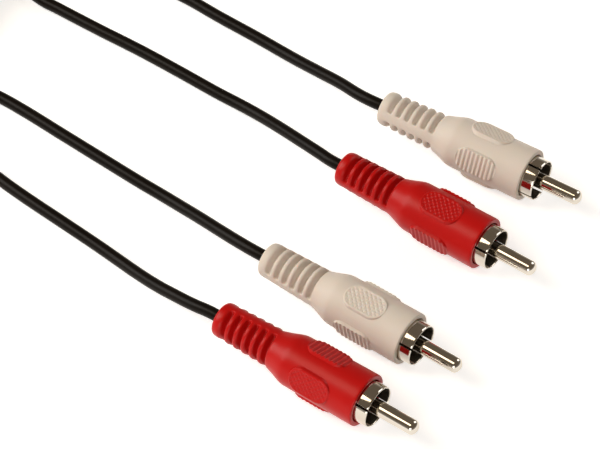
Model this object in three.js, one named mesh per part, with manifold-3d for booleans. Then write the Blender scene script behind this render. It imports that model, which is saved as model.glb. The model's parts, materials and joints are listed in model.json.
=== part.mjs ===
// Stereo phono lead: a twin cable that parts near its ends into four thin wires, each with a
// moulded plug. Two plugs are white and two are red. Millimetres, +Z up.
// Each plug is built lying along +X, from the wire's exit at x = 0 to the tip of its centre pin,
// then rolled about its own axis, turned and laid on the ground. The rest of the cable is a coil.

import * as THREE from "three";
import { mergeVertices } from "three/addons/utils/BufferGeometryUtils.js";
import Module from "manifold-3d";

const wasm = await Module();
wasm.setup();

// Clearances
const FIT_GAP = 0.3; // between pieces that touch on the real plug

// Wire
const WIRE_RADIUS = 1.3;
const WIRE_SIDES = 8;
const WIRE_STEP = 7; // length of one step along a wire

// Boot, the moulded grip
const BOOT_LENGTH = 35.2;
const TAIL_LENGTH = 13.7; // the strain relief
const TAIL_REAR_RADIUS = 3.65;
const TAIL_FRONT_RADIUS = 4.05;
const TAIL_EDGE = 0.5; // rounding of the tail's rear edge
const CONE_LENGTH = 4.2;
const BODY_REAR_RADIUS = 5.45;
const BODY_FRONT_RADIUS = 5.62;
const BODY_EDGE = 0.3; // rounding of the boot's front edge
const BOOT_SEGMENTS = 20;
const CAVITY_SEGMENTS = 12;

// Strain relief slots
const SLOT_COUNT = 6;
const SLOT_PITCH = 2.03;
const FIRST_SLOT = 2.9; // from the rear face to the middle of the first slot
const SLOT_WIDTH = 0.9;
const SLOT_DEPTH = 0.95;
const SLOT_ANGLE = 146; // degrees of each slot, which leaves two spines
const SLOT_STEPS = 3; // flats round a slot's floor

// Grip pads: flat lands whose long edges stand out from the round body
const PAD_CENTRE = 25; // from the boot's rear face
const PAD_RISE = 0.1; // of a pad's flat top over the body, along the pad's middle
const OVAL_LENGTH = 9.4;
const OVAL_WIDTH = 5.2;
const OVAL_BORDER = 0.5; // plain rim round the cross-hatching
const HATCH_PITCH = 2.9;
const HATCH_WIDTH = 0.45;
const HATCH_DEPTH = 0.2;
const HATCH_ANGLE = 60; // degrees between a hatch line and the plug's axis
const RIBBED_WIDTH = 4.9;
const RIB_VALLEYS = 10;
const RIB_PITCH = 0.97;
const RIB_DEPTH = 0.3;

// Ground shell
const SHELL_RADIUS = 4.4;
const SHELL_WALL = 0.35;
const SHELL_SHOWS = 2.7; // length beyond the boot's front face
const SHELL_LENGTH = 8.7;
const SHELL_SEGMENTS = 20;
const FLANGE_THICKNESS = 0.5;
const FLANGE_BORE = 2.9;
const SLIT_COUNT = 4;
const SLIT_WIDTH = 0.5;
const SLIT_LENGTH = 5;
const SLIT_TURN = 45; // degrees from the oval pads
const LUG_WIDTH = 2.4;
const LUG_LENGTH = 7.7;
const LUG_THICKNESS = 0.35;
const LUG_UNDERSIDE = 3.1; // distance from the plug's axis

// Insulator
const INSULATOR_THICKNESS = 2;
const COLLAR_RADIUS = 2.6;
const COLLAR_LENGTH = 1.6; // behind the insulator's disc
const INSULATOR_SEGMENTS = 12;

// Centre pin
const PIN_RADIUS = 1.6;
const PIN_SHOWS = 12; // length beyond the boot's front face
const PIN_NOSE = 1.2; // length of the rounded nose
const PIN_SEGMENTS = 12;
const SHANK_RADIUS = 1.1;
const BEAD_RADIUS = 1.7;
const BEAD_WIDTH = 0.7;
const CUP_LENGTH = 3.3; // behind the bead
const CUP_BORE = 0.6;
const CUP_DEPTH = 2.2;
const SEAM_WIDTH = 0.4;
const SEAM_DEPTH = 0.35;
const SEAM_START = 1.5; // in front of the pin's shoulder
const SEAM_END = 3.2; // behind the pin's tip

// Wire end inside the boot
const JACKET_LENGTH = 17;
const CORE_RADIUS = 0.6;
const CORE_LENGTH = 5.2; // insulated stretch
const CONDUCTOR_RADIUS = 0.3;
const TAIL_WIRE_RADIUS = 0.45; // the twisted shield wires
const CHAMBER_RADIUS = 4; // room for the lug

// Coil, with the tie that holds its turns
const COIL_X = -120.9;
const COIL_Y = 86.5;
const COIL_MEAN_RADIUS = 27;
const COIL_COLUMNS = 4; // wires side by side
const COIL_LAYERS = 4; // wires on top of one another
const COIL_SEGMENTS = 36;
const TIE_THICKNESS = 0.6;
const TIE_WIDTH = 4;
const TIE_TAIL = 8; // the free end, beside the coil
const TIE_ANGLE = 140; // degrees round the coil from +X

// Places along the plug that follow from the sizes above
const coneEnd = TAIL_LENGTH + CONE_LENGTH;
const shellFront = BOOT_LENGTH + SHELL_SHOWS;
const shellRear = shellFront - SHELL_LENGTH;
const shellBore = SHELL_RADIUS - SHELL_WALL;
const flangeFront = shellRear + FLANGE_THICKNESS;
const insulatorRear = flangeFront + FIT_GAP;
const insulatorFront = insulatorRear + INSULATOR_THICKNESS;
const collarRear = insulatorRear - COLLAR_LENGTH;
const pinShoulder = insulatorFront + FIT_GAP;
const pinTip = BOOT_LENGTH + PIN_SHOWS;
const beadFront = collarRear - FIT_GAP;
const beadRear = beadFront - BEAD_WIDTH;
const cupRear = beadRear - CUP_LENGTH;
const coreRear = JACKET_LENGTH + FIT_GAP;
const coreFront = coreRear + CORE_LENGTH;
// The middles of a bore's flats lie nearer the axis than its corners, by this share
const CAVITY_FLAT = Math.cos(Math.PI / CAVITY_SEGMENTS);

// Sizes of the coil that follow from the wire's
const wirePitch = 2 * WIRE_RADIUS + FIT_GAP;
const coilWidth = (COIL_COLUMNS - 1) * wirePitch + 2 * WIRE_RADIUS;
const coilHeight = (COIL_LAYERS - 1) * wirePitch + 2 * WIRE_RADIUS;
const coilBottom = TIE_THICKNESS + FIT_GAP;
const tieCorner = WIRE_RADIUS + FIT_GAP; // radius of the tie's bends, on its inner side

// Plugs: colour, place of the wire's exit, heading below +X and roll about the axis in degrees.
// shellTurn and seamTurn are how far the shell and the pin are turned in the boot. The route is
// the wire's way from the exit to the coil: X, Y, and height as a share of the way from lying on
// the ground to the plug's axis.
const PLUGS = [
  {
    name: "white_a",
    colour: "white",
    x: -2.31,
    y: 41.27,
    heading: 33.2,
    roll: -21,
    shellTurn: -12,
    seamTurn: 102,
    route: [
      [-4.9, 42.9, 0.99], [-7.5, 45.1, 0.91], [-11.5, 49.5, 0.7], [-15.7, 53.8, 0.44],
      [-20, 58.2, 0.17], [-24.3, 62.2, 0.03], [-28.6, 65.75, 0], [-37.3, 72.35, 0],
      [-46, 79.1, 0], [-53.4, 83.4, 0], [-61.6, 86.7, 0], [-69.8, 90, 0],
      [-76.5, 93.9, 0], [-81.8, 97.6, 0.04], [-86.6, 101.2, 0.23], [-91.6, 104.5, 0.49],
    ],
  },
  {
    name: "red_a",
    colour: "red",
    x: -11.11,
    y: 24.47,
    heading: 36.2,
    roll: 12,
    shellTurn: 0,
    seamTurn: 68,
    route: [
      [-13.5, 26.2, 0.99], [-15.8, 28.6, 0.91], [-20, 33.2, 0.7], [-24.2, 38, 0.43],
      [-28.4, 42.6, 0.16], [-32.6, 46.3, 0.03], [-36.9, 49.45, 0], [-45.5, 55.95, 0],
      [-54.2, 62.35, 0], [-63.1, 68.45, 0], [-72, 74.75, 0], [-76.6, 78.1, 0],
      [-80.3, 82.6, 0], [-82.9, 88.7, 0], [-85.5, 94.9, 0], [-89.2, 99.8, 0],
    ],
  },
  {
    name: "white_b",
    colour: "white",
    x: -26.56,
    y: -0.03,
    heading: 36.6,
    roll: 12,
    shellTurn: 0,
    seamTurn: 68,
    route: [
      [-28.95, 1.7, 0.99], [-31.8, 4.2, 0.9], [-35.9, 8.3, 0.69], [-40, 12.7, 0.43],
      [-44.2, 17.1, 0.16], [-48.4, 20.95, 0.02], [-52.6, 24.25, 0], [-61.1, 31.05, 0],
      [-69.8, 38.05, 0], [-78.5, 45.05, 0], [-82.9, 48.3, 0], [-87.6, 51.1, 0.03],
      [-92.6, 53.1, 0.19], [-98, 54.3, 0.49], [-103.6, 54.8, 0.81], [-107, 54.85, 0.98],
    ],
  },
  {
    name: "red_b",
    colour: "red",
    x: -35.56,
    y: -15.58,
    heading: 36.1,
    roll: 66.5,
    shellTurn: -57.5,
    seamTurn: 91.5,
    route: [
      [-38, -13.9, 0.99], [-40.8, -12, 0.9], [-44.4, -9, 0.72], [-48.5, -5.3, 0.49],
      [-52.6, -1, 0.23], [-56.7, 3.3, 0.05], [-60.9, 7.2, 0], [-68.6, 13.75, 0],
      [-77.2, 21.05, 0], [-81.5, 24.95, 0], [-85.8, 29.2, 0], [-90.2, 33.9, 0],
      [-94.8, 38.8, 0.04], [-99.7, 43.5, 0.17], [-104.9, 47.3, 0.4], [-110.4, 50.1, 0.72],
      [-118.6, 52.1, 1.1],
    ],
  },
];

const radians = THREE.MathUtils.degToRad;

// Materials
function material(colour, roughness, metalness) {
  return new THREE.MeshStandardMaterial({ color: colour, roughness, metalness });
}

const BOOT_COLOURS = { white: 0xd8ccba, red: 0xb01c20 };
const makeBootMaterial = (colour) => material(BOOT_COLOURS[colour], 0.45, 0);
const makeWireMaterial = () => material(0x15120f, 0.35, 0);
const makePlatingMaterial = () => material(0xd2c9b8, 0.2, 1);
const makeInsulatorMaterial = () => material(0x0e0d0c, 0.6, 0);
const makeCoreMaterial = () => material(0xe8e2d2, 0.5, 0);
const makeCopperMaterial = () => material(0xb8733a, 0.35, 1);
const makeTieMaterial = () => material(0x181818, 0.6, 0);

// Turn a closed three.js geometry into a solid for cutting and joining, and back
function toSolid(geometry) {
  const bare = geometry.clone();
  bare.deleteAttribute("normal");
  bare.deleteAttribute("uv");
  const welded = mergeVertices(bare, 1e-4);
  return new wasm.Manifold(new wasm.Mesh({
    numProp: 3,
    vertProperties: Float32Array.from(welded.attributes.position.array),
    triVerts: Uint32Array.from(welded.index.array),
  }));
}

function toGeometry(solid) {
  const mesh = solid.getMesh();
  const geometry = new THREE.BufferGeometry();
  geometry.setAttribute("position", new THREE.BufferAttribute(mesh.vertProperties, 3));
  geometry.setIndex(new THREE.BufferAttribute(mesh.triVerts, 1));
  geometry.computeVertexNormals();
  return geometry;
}

// Revolve a profile of [x, radius] points about the X axis
function revolve(profile, segments) {
  const points = profile.map(([x, radius]) => new THREE.Vector2(radius, x));
  return new THREE.LatheGeometry(points, segments).rotateZ(-Math.PI / 2);
}

// Points of a quarter-round edge from one [x, radius] point to another, round a centre
function roundEdge(centreX, centreRadius, size, fromDegrees, toDegrees, steps = 2) {
  const points = [];
  for (let i = 0; i <= steps; i++) {
    const angle = radians(THREE.MathUtils.lerp(fromDegrees, toDegrees, i / steps));
    points.push([centreX + size * Math.cos(angle), centreRadius + size * Math.sin(angle)]);
  }
  return points;
}

// Outline with straight sides and round ends, length along X
function ovalShape(length, width, arcSteps = 4) {
  const half = width / 2;
  const straight = length / 2 - half;
  const points = [];
  for (let i = 0; i <= arcSteps; i++) {
    const angle = -Math.PI / 2 + (Math.PI * i) / arcSteps;
    points.push(new THREE.Vector2(straight + half * Math.cos(angle), half * Math.sin(angle)));
  }
  for (let i = 0; i <= arcSteps; i++) {
    const angle = Math.PI / 2 + (Math.PI * i) / arcSteps;
    points.push(new THREE.Vector2(-straight + half * Math.cos(angle), half * Math.sin(angle)));
  }
  return new THREE.Shape(points);
}

const bodyRadiusAt = (x) =>
  THREE.MathUtils.mapLinear(x, coneEnd, BOOT_LENGTH, BODY_REAR_RADIUS, BODY_FRONT_RADIUS);
const tailRadiusAt = (x) =>
  THREE.MathUtils.mapLinear(x, 0, TAIL_LENGTH, TAIL_REAR_RADIUS, TAIL_FRONT_RADIUS);

// The boot before its slots and pads: tail, cone and body outside, and three bores inside
function bootBlank() {
  const outside = [
    [0, 0],
    ...roundEdge(TAIL_EDGE, TAIL_REAR_RADIUS - TAIL_EDGE, TAIL_EDGE, 180, 90),
    [TAIL_LENGTH, TAIL_FRONT_RADIUS],
    [coneEnd, BODY_REAR_RADIUS],
    ...roundEdge(BOOT_LENGTH - BODY_EDGE, BODY_FRONT_RADIUS - BODY_EDGE, BODY_EDGE, 90, 0),
    [BOOT_LENGTH, 0],
  ];
  const wireBore = (WIRE_RADIUS + FIT_GAP) / CAVITY_FLAT;
  const chamber = CHAMBER_RADIUS / CAVITY_FLAT;
  const shellRecess = (SHELL_RADIUS + FIT_GAP) / CAVITY_FLAT;
  const recessRear = shellRear - FIT_GAP;
  const inside = [
    [-1, 0],
    [-1, wireBore],
    [JACKET_LENGTH, wireBore],
    [JACKET_LENGTH, chamber],
    [recessRear, chamber],
    [recessRear, shellRecess],
    [BOOT_LENGTH + 1, shellRecess],
    [BOOT_LENGTH + 1, 0],
  ];
  return toSolid(revolve(outside, BOOT_SEGMENTS)).subtract(toSolid(revolve(inside, CAVITY_SEGMENTS)));
}

// A cutter for one slot: part of a ring, open to the outside
function slotCutter(x, middleDegrees) {
  const floor = tailRadiusAt(x) - SLOT_DEPTH;
  const reach = TAIL_FRONT_RADIUS + 1;
  const half = radians(SLOT_ANGLE / 2);
  const at = (radius, angle) => new THREE.Vector2(radius * Math.sin(angle), radius * Math.cos(angle));
  const steps = [...Array(SLOT_STEPS + 1).keys()].map((i) => -half + (2 * half * i) / SLOT_STEPS);
  const shape = new THREE.Shape([
    ...steps.map((angle) => at(floor, angle)),
    ...steps.map((angle) => at(reach, -angle)),
  ]);
  // Drawn across Y and up Z, then stood up to run along X
  const geometry = new THREE.ExtrudeGeometry(shape, { depth: SLOT_WIDTH, bevelEnabled: false });
  geometry.rotateX(Math.PI / 2).rotateZ(Math.PI / 2);
  geometry.translate(x - SLOT_WIDTH / 2, 0, 0).rotateX(radians(middleDegrees));
  return toSolid(geometry);
}

const padTop = bodyRadiusAt(PAD_CENTRE) + PAD_RISE;

// A pad's outline raised through the boot's wall on the +Z side, up to a height
function padPrism(length, width, top) {
  const shape = ovalShape(length, width);
  const inside = CHAMBER_RADIUS + 0.6;
  const geometry = new THREE.ExtrudeGeometry(shape, { depth: top - inside, bevelEnabled: false });
  return toSolid(geometry.translate(PAD_CENTRE, 0, inside));
}

// Cross-hatching: two sets of slanting grooves, kept inside the pad's plain rim
function hatchGrooves() {
  const count = Math.ceil(OVAL_LENGTH / HATCH_PITCH / 2) + 1;
  const middle = padTop - HATCH_DEPTH + 2;
  let grooves = null;
  for (const side of [-1, 1]) {
    for (let i = -count; i <= count; i++) {
      const bar = new THREE.BoxGeometry(2 * OVAL_WIDTH, HATCH_WIDTH, 4);
      bar.rotateZ(side * radians(HATCH_ANGLE)).translate(PAD_CENTRE + (i + 0.5) * HATCH_PITCH, 0, middle);
      const solid = toSolid(bar);
      grooves = grooves ? grooves.add(solid) : solid;
    }
  }
  const length = OVAL_LENGTH - 2 * OVAL_BORDER;
  return grooves.intersect(padPrism(length, OVAL_WIDTH - 2 * OVAL_BORDER, padTop + 1));
}

const ovalPad = () => padPrism(OVAL_LENGTH, OVAL_WIDTH, padTop).subtract(hatchGrooves());

// Ribs run across the pad: a toothed block, trimmed to the pad's outline
function ribbedPad() {
  const length = RIB_VALLEYS * RIB_PITCH;
  const teeth = [new THREE.Vector2(0, 0), new THREE.Vector2(length, 0), new THREE.Vector2(length, padTop)];
  for (let i = RIB_VALLEYS - 1; i >= 0; i--) {
    teeth.push(new THREE.Vector2((i + 0.5) * RIB_PITCH, padTop - RIB_DEPTH));
    teeth.push(new THREE.Vector2(i * RIB_PITCH, padTop));
  }
  const settings = { depth: RIBBED_WIDTH + 1, bevelEnabled: false };
  const block = new THREE.ExtrudeGeometry(new THREE.Shape(teeth), settings);
  block.rotateX(Math.PI / 2).translate(PAD_CENTRE - length / 2, (RIBBED_WIDTH + 1) / 2, 0);
  return padPrism(length, RIBBED_WIDTH, padTop + 1).intersect(toSolid(block));
}

// Turn a solid made on the +Z side about the plug's axis
const turned = (solid, degrees) => solid.rotate([degrees, 0, 0]);

function makeBoot() {
  let boot = bootBlank();
  for (let i = 0; i < SLOT_COUNT; i++) {
    const x = FIRST_SLOT + i * SLOT_PITCH;
    for (const middle of [0, 180]) boot = boot.subtract(slotCutter(x, middle));
  }
  const oval = ovalPad();
  const ribbed = ribbedPad();
  for (const side of [0, 180]) {
    boot = boot.add(turned(oval, side)).add(turned(ribbed, side + 90));
  }
  return toGeometry(boot);
}

// Rolled shell: a thin ring slit into four petals, a flange at its rear and a solder lug
function makeShell() {
  const profile = [
    [shellRear, FLANGE_BORE],
    [shellRear, SHELL_RADIUS],
    [shellFront, SHELL_RADIUS],
    [shellFront, shellBore],
    [flangeFront, shellBore],
    [flangeFront, FLANGE_BORE],
    [shellRear, FLANGE_BORE],
  ];
  let shell = toSolid(revolve(profile, SHELL_SEGMENTS));
  for (let i = 0; i < SLIT_COUNT; i++) {
    const slit = new THREE.BoxGeometry(SLIT_LENGTH + 1, SLIT_WIDTH, SHELL_RADIUS + 1);
    slit.translate(shellFront + 1 - (SLIT_LENGTH + 1) / 2, 0, (SHELL_RADIUS + 1) / 2);
    slit.rotateX(radians(SLIT_TURN) + (2 * Math.PI * i) / SLIT_COUNT);
    shell = shell.subtract(toSolid(slit));
  }
  const lug = new THREE.BoxGeometry(LUG_LENGTH + FLANGE_THICKNESS / 2, LUG_WIDTH, LUG_THICKNESS);
  const lugMiddle = shellRear + FLANGE_THICKNESS / 2 - (LUG_LENGTH + FLANGE_THICKNESS / 2) / 2;
  lug.translate(lugMiddle, 0, LUG_UNDERSIDE + LUG_THICKNESS / 2);
  return toGeometry(shell.add(toSolid(lug)));
}

function makeInsulator() {
  const bore = SHANK_RADIUS + FIT_GAP;
  const rim = shellBore - FIT_GAP;
  return revolve([
    [collarRear, bore],
    [collarRear, COLLAR_RADIUS],
    [insulatorRear, COLLAR_RADIUS],
    [insulatorRear, rim],
    [insulatorFront, rim],
    [insulatorFront, bore],
    [collarRear, bore],
  ], INSULATOR_SEGMENTS);
}

// Centre pin: round nose, shoulder against the insulator, bead behind it and a solder cup
function makePin() {
  const nose = [];
  const noseSteps = 4;
  for (let i = 0; i <= noseSteps; i++) {
    const angle = (Math.PI / 2) * (i / noseSteps);
    nose.push([pinTip - PIN_NOSE + PIN_NOSE * Math.sin(angle), PIN_RADIUS * Math.cos(angle)]);
  }
  nose[noseSteps][1] = 0;
  const profile = [
    [cupRear + CUP_DEPTH, 0],
    [cupRear + CUP_DEPTH, CUP_BORE],
    [cupRear, CUP_BORE],
    [cupRear, SHANK_RADIUS],
    [beadRear, SHANK_RADIUS],
    [beadRear, BEAD_RADIUS],
    [beadFront, BEAD_RADIUS],
    [beadFront, SHANK_RADIUS],
    [pinShoulder, SHANK_RADIUS],
    [pinShoulder, PIN_RADIUS],
    ...nose,
  ];
  const seamLength = pinTip - SEAM_END - pinShoulder - SEAM_START;
  const outline = ovalShape(seamLength, SEAM_WIDTH, 3);
  const seam = new THREE.ExtrudeGeometry(outline, { depth: 1, bevelEnabled: false });
  seam.translate(pinShoulder + SEAM_START + seamLength / 2, 0, PIN_RADIUS - SEAM_DEPTH);
  return toGeometry(toSolid(revolve(profile, PIN_SEGMENTS)).subtract(toSolid(seam)));
}

// The wire's own jacket, held in the boot
function makeJacket() {
  return revolve([[0, 0], [0, WIRE_RADIUS], [JACKET_LENGTH, WIRE_RADIUS], [JACKET_LENGTH, 0]], WIRE_SIDES);
}

// The insulated core and the bare end that is soldered in the pin's cup
function makeCore() {
  const conductorFront = cupRear + CUP_DEPTH - FIT_GAP;
  return revolve([
    [coreRear, 0],
    [coreRear, CORE_RADIUS],
    [coreFront, CORE_RADIUS],
    [coreFront, CONDUCTOR_RADIUS],
    [conductorFront, CONDUCTOR_RADIUS],
    [conductorFront, 0],
  ], WIRE_SIDES);
}

// A round bar along a curve
function bar(curve, radius, sides, steps) {
  const corners = [];
  for (let i = 0; i < sides; i++) {
    const angle = (2 * Math.PI * (i + 0.5)) / sides;
    corners.push(new THREE.Vector2(radius * Math.cos(angle), radius * Math.sin(angle)));
  }
  const shape = new THREE.Shape(corners);
  return new THREE.ExtrudeGeometry(shape, { steps, extrudePath: curve, bevelEnabled: false });
}

// The shield's strands, twisted together and bent up to the lug
function makeShieldTail() {
  const start = CORE_RADIUS + FIT_GAP + TAIL_WIRE_RADIUS;
  const end = LUG_UNDERSIDE - FIT_GAP - TAIL_WIRE_RADIUS;
  const lugRear = shellRear - LUG_LENGTH;
  const points = [
    [coreRear, start],
    [coreRear + 1.5, start + 0.1],
    [(coreRear + lugRear) / 2 + 1, (start + end) / 2],
    [lugRear + 1, end],
    [lugRear + 4.5, end],
  ];
  const curve = new THREE.CatmullRomCurve3(points.map(([x, z]) => new THREE.Vector3(x, 0, z)));
  return bar(curve, TAIL_WIRE_RADIUS, 6, 6);
}

// The thin wire from a plug to the coil. It starts just behind the boot, at the plug's axis.
function makeWire(plug, axisHeight) {
  const heading = radians(plug.heading);
  const along = new THREE.Vector3(Math.cos(heading), -Math.sin(heading), 0);
  const start = new THREE.Vector3(plug.x, plug.y, axisHeight).addScaledVector(along, -FIT_GAP);
  const points = [start];
  for (const [x, y, share] of plug.route) {
    points.push(new THREE.Vector3(x, y, THREE.MathUtils.lerp(WIRE_RADIUS, axisHeight, share)));
  }
  const curve = new THREE.CatmullRomCurve3(points);
  return bar(curve, WIRE_RADIUS, WIRE_SIDES, Math.round(curve.getLength() / WIRE_STEP));
}

// A rectangle with round corners, its middle at the origin
function roundedOutline(width, height, corner, steps) {
  const points = [];
  for (const [signX, signY, from] of [[1, 1, 0], [-1, 1, 90], [-1, -1, 180], [1, -1, 270]]) {
    for (let i = 0; i <= steps; i++) {
      const angle = radians(from + (90 * i) / steps);
      const x = signX * (width / 2 - corner) + corner * Math.cos(angle);
      const y = signY * (height / 2 - corner) + corner * Math.sin(angle);
      points.push(new THREE.Vector2(x, y));
    }
  }
  return points;
}

// The wound stretch of the cable as one plain ring, lifted by the thickness of the tie under it
function makeCoil() {
  const section = roundedOutline(coilWidth, coilHeight, WIRE_RADIUS, 1);
  const points = section.map(({ x, y }) => new THREE.Vector2(COIL_MEAN_RADIUS + x, y));
  points.push(points[0].clone());
  const ring = new THREE.LatheGeometry(points, COIL_SEGMENTS).rotateX(Math.PI / 2);
  return ring.translate(COIL_X, COIL_Y, coilBottom + coilHeight / 2);
}

// A flat band round the coil's bundle, with its free end lying outwards on the ground
function makeTie() {
  const insideWidth = coilWidth + 2 * FIT_GAP;
  const insideHeight = coilHeight + 2 * FIT_GAP;
  const outsideWidth = insideWidth + 2 * TIE_THICKNESS;
  const outsideHeight = insideHeight + 2 * TIE_THICKNESS;
  const band = new THREE.Shape(roundedOutline(outsideWidth, outsideHeight, tieCorner + TIE_THICKNESS, 3));
  band.holes.push(new THREE.Path(roundedOutline(insideWidth, insideHeight, tieCorner, 3)));
  const loop = new THREE.ExtrudeGeometry(band, { depth: TIE_WIDTH, bevelEnabled: false });
  loop.translate(0, 0, -TIE_WIDTH / 2);
  const overlap = outsideWidth / 4;
  const tail = new THREE.BoxGeometry(overlap + TIE_TAIL, TIE_THICKNESS, TIE_WIDTH);
  const tailX = outsideWidth / 2 - overlap + (overlap + TIE_TAIL) / 2;
  tail.translate(tailX, (TIE_THICKNESS - outsideHeight) / 2, 0);
  const tie = toGeometry(toSolid(loop).add(toSolid(tail)));
  tie.rotateX(Math.PI / 2).translate(COIL_MEAN_RADIUS, 0, outsideHeight / 2);
  return tie.rotateZ(radians(TIE_ANGLE)).translate(COIL_X, COIL_Y, 0);
}

function named(name, geometry, itsMaterial) {
  const mesh = new THREE.Mesh(geometry, itsMaterial);
  mesh.name = name;
  return mesh;
}

const shapes = {
  boot: makeBoot(),
  shell: makeShell(),
  insulator: makeInsulator(),
  pin: makePin(),
  jacket: makeJacket(),
  core: makeCore(),
  shieldTail: makeShieldTail(),
};

// One plug, rolled, turned and laid with its lowest point on the ground, and its wire
function makePlug(plug) {
  const rolled = new THREE.Group();
  rolled.rotation.x = radians(plug.roll);
  const shell = named(`${plug.name}_shell`, shapes.shell, makePlatingMaterial());
  shell.rotation.x = radians(plug.shellTurn);
  const shieldTail = named(`${plug.name}_shield_tail`, shapes.shieldTail, makeCopperMaterial());
  shieldTail.rotation.x = radians(plug.shellTurn);
  const pin = named(`${plug.name}_pin`, shapes.pin, makePlatingMaterial());
  pin.rotation.x = radians(plug.seamTurn);
  rolled.add(
    named(`${plug.name}_boot`, shapes.boot, makeBootMaterial(plug.colour)),
    shell,
    named(`${plug.name}_insulator`, shapes.insulator, makeInsulatorMaterial()),
    pin,
    named(`${plug.name}_jacket`, shapes.jacket, makeWireMaterial()),
    named(`${plug.name}_core`, shapes.core, makeCoreMaterial()),
    shieldTail,
  );
  const axisHeight = -new THREE.Box3().setFromObject(rolled, true).min.z;
  const laid = new THREE.Group();
  laid.add(rolled);
  laid.rotation.z = -radians(plug.heading);
  laid.position.set(plug.x, plug.y, axisHeight);
  const both = new THREE.Group();
  both.add(laid, named(`${plug.name}_wire`, makeWire(plug, axisHeight), makeWireMaterial()));
  return both;
}

const lead = new THREE.Group();
for (const plug of PLUGS) lead.add(makePlug(plug));
lead.add(named("coil", makeCoil(), makeWireMaterial()));
lead.add(named("tie", makeTie(), makeTieMaterial()));

export default lead;
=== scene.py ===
# %% [markdown]
# # A stereo phono lead
# Two thin audio wires, each with a moulded plug at both ends. The wires run side by side as one
# flat cable for most of their length, which is wound into a coil and tied. The CAD model gives
# the places and the main sizes. This lesson dresses it: smooth mouldings, bright plating and real
# wires.

import json
import math

import bpy
from mathutils import Matrix, Vector


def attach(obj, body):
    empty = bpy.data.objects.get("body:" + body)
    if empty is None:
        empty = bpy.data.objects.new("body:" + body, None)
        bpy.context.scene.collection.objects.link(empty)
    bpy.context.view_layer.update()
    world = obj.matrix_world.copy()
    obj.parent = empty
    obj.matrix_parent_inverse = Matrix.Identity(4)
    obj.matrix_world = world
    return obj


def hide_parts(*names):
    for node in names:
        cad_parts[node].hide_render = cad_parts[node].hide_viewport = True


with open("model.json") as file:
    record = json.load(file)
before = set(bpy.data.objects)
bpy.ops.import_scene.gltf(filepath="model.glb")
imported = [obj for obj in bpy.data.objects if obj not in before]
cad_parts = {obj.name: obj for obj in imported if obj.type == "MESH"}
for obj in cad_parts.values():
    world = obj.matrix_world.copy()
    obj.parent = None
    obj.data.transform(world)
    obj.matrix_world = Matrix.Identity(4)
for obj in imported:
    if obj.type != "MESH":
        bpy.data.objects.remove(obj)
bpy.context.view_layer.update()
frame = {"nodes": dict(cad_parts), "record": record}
MM = 0.001
print("CAD nodes:", len(frame["nodes"]))

# %% [markdown]
# ## The camera
# The photograph looks down on the plugs from 49 degrees with a long lens, so lines that are
# parallel on the lead stay nearly parallel in the picture. The place follows from the angle, the
# distance and the point looked at, which keeps the three easy to adjust.

# %% Add the camera
VIEW_ELEVATION = math.radians(49)
VIEW_DISTANCE = 650 * MM
VIEW_TARGET = Vector((-19.97, 8.75, 6.0)) * MM
LENS = 193.05

back = Vector((0, -math.cos(VIEW_ELEVATION), math.sin(VIEW_ELEVATION)))
bpy.ops.object.camera_add(location=VIEW_TARGET + VIEW_DISTANCE * back)
camera = bpy.context.object
camera.name = "camera"
camera.rotation_euler = (math.pi / 2 - VIEW_ELEVATION, 0, 0)
camera.data.lens = LENS
camera.data.clip_start = 0.05
bpy.context.scene.camera = camera
print("camera at", [round(v, 3) for v in camera.location])

# %% [markdown]
# ## Where the plugs lie
# Each plug is made once along the X axis, from the wire's exit at x = 0 to the pin's tip, and then
# rolled, turned and put down. These values are the CAD model's own. A route lists X, Y and the
# wire's height, where 0 lies on the ground and 1 is the height of the plug's axis. The last points
# of each route lead up to the coil. Inside the boot the wire follows the plug's axis.

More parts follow.
